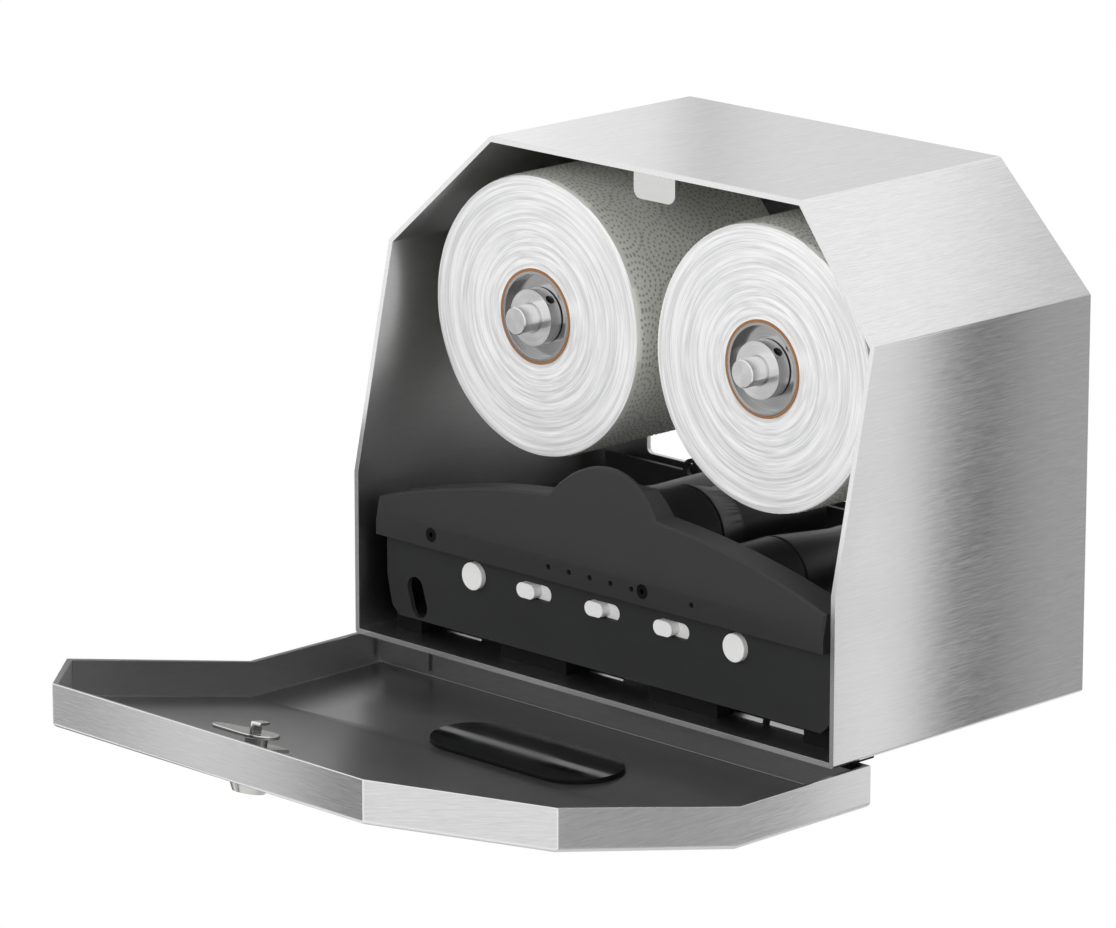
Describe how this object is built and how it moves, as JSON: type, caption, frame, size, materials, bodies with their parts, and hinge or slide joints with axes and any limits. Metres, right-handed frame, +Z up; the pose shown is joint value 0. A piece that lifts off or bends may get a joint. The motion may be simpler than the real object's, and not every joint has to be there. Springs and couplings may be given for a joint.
{
  "type": "twin roll toilet paper dispenser",
  "caption": "Lockable steel cabinet for toilet paper rolls on spindles, with a folded drop-down door, black dispensing unit with guide rollers, sliders and push buttons.",
  "frame": {"origin": "centre of the four wall holes, on the wall face of the back plate", "axes": "+X to the right seen from the front, +Y towards the wall, +Z up"},
  "size_m": [0.3082, 0.3924, 0.2573],
  "materials": {
    "brushed_steel": "brushed lengthwise, clear grain",
    "steel_sheet": "brushed",
    "turned_steel": "turned, fine rings",
    "axle_steel": "ground bar",
    "bronze": "plain bush",
    "plated_steel": "satin plating",
    "black_steel": "black coat",
    "black_screws": "black oxide",
    "black_plastic": "fine grain",
    "roller_plastic": "moulded, soft sheen",
    "white_plastic": "satin",
    "smoked_acrylic": "polished",
    "spring_steel": "drawn wire",
    "tissue": "soft, dotted emboss",
    "cardboard": "grey-brown board"
  },
  "bodies": {
    "cabinet": {"casing_shell": "brushed_steel", "strike_tab": "brushed_steel", "back_plate": "steel_sheet", "left_spindle_rod": "turned_steel", "right_spindle_rod": "turned_steel", "left_set_collar": "turned_steel", "right_set_collar": "turned_steel", "left_spindle_flange": "turned_steel", "right_spindle_flange": "turned_steel", "roller_axles": "axle_steel", "left_hinge_cabinet_leaf": "black_steel", "right_hinge_cabinet_leaf": "black_steel", "hinge_pins": "black_steel", "flange_screws": "black_screws", "hood_screws": "black_screws", "tray_screws": "black_screws", "retainer_screws": "black_screws", "collar_set_screws": "black_screws", "unit_front_plate": "black_plastic", "unit_hood": "black_plastic", "unit_tray": "black_plastic", "unit_rear_panel": "black_plastic", "slider_retainer": "black_plastic", "left_button_spring": "spring_steel", "right_button_spring": "spring_steel"},
    "door": {"door_panel": "brushed_steel", "viewing_pane": "smoked_acrylic", "lock_housing": "plated_steel", "left_hinge_door_leaf": "black_steel", "right_hinge_door_leaf": "black_steel"},
    "lock": {"lock_plug": "plated_steel", "lock_cam": "plated_steel"},
    "left_roll": {"left_paper_roll": "tissue", "left_roll_core": "cardboard", "left_roll_hub": "turned_steel", "left_hub_bushes": "bronze"},
    "right_roll": {"right_paper_roll": "tissue", "right_roll_core": "cardboard", "right_roll_hub": "turned_steel", "right_hub_bushes": "bronze"},
    "left_roller": {"left_guide_roller": "roller_plastic"},
    "middle_roller": {"middle_guide_roller": "roller_plastic"},
    "right_roller": {"right_guide_roller": "roller_plastic"},
    "left_slide": {"left_slider": "white_plastic"},
    "middle_slide": {"middle_slider": "white_plastic"},
    "right_slide": {"right_slider": "white_plastic"},
    "left_push_button": {"left_button": "white_plastic"},
    "right_push_button": {"right_button": "white_plastic"}
  },
  "joints": [
    {"name": "door_swing", "type": "hinge", "parent": "cabinet", "child": "door", "pos_m": [0, -0.14915, -0.12735], "axis": [1, 0, 0], "range_deg": [-90, 0]},
    {"name": "lock_turn", "type": "hinge", "parent": "door", "child": "lock", "pos_m": [0, -0.3653, -0.11318], "axis": [0, 0.213, 0.977], "range_deg": [-15, 75]},
    {"name": "left_roll_spin", "type": "hinge", "parent": "cabinet", "child": "left_roll", "pos_m": [-0.0703, -0.076, 0.0319], "axis": [0, 1, 0], "continuous": true},
    {"name": "right_roll_spin", "type": "hinge", "parent": "cabinet", "child": "right_roll", "pos_m": [0.0703, -0.076, 0.0319], "axis": [0, 1, 0], "continuous": true},
    {"name": "left_roller_spin", "type": "hinge", "parent": "cabinet", "child": "left_roller", "pos_m": [-0.0545, -0.085, -0.0715], "axis": [0, 1, 0], "continuous": true},
    {"name": "middle_roller_spin", "type": "hinge", "parent": "cabinet", "child": "middle_roller", "pos_m": [0, -0.085, -0.061], "axis": [0, 1, 0], "continuous": true},
    {"name": "right_roller_spin", "type": "hinge", "parent": "cabinet", "child": "right_roller", "pos_m": [0.0545, -0.085, -0.0715], "axis": [0, 1, 0], "continuous": true},
    {"name": "left_slider_move", "type": "slide", "parent": "cabinet", "child": "left_slide", "axis": [1, 0, 0], "range_m": [0, 0.008]},
    {"name": "middle_slider_move", "type": "slide", "parent": "cabinet", "child": "middle_slide", "axis": [1, 0, 0], "range_m": [0, 0.008]},
    {"name": "right_slider_move", "type": "slide", "parent": "cabinet", "child": "right_slide", "axis": [1, 0, 0], "range_m": [0, 0.008]},
    {"name": "left_button_press", "type": "slide", "parent": "cabinet", "child": "left_push_button", "axis": [0, 1, 0], "range_m": [0, 0.002], "stiffness_N_per_m": 400},
    {"name": "right_button_press", "type": "slide", "parent": "cabinet", "child": "right_push_button", "axis": [0, 1, 0], "range_m": [0, 0.002], "stiffness_N_per_m": 400}
  ]
}
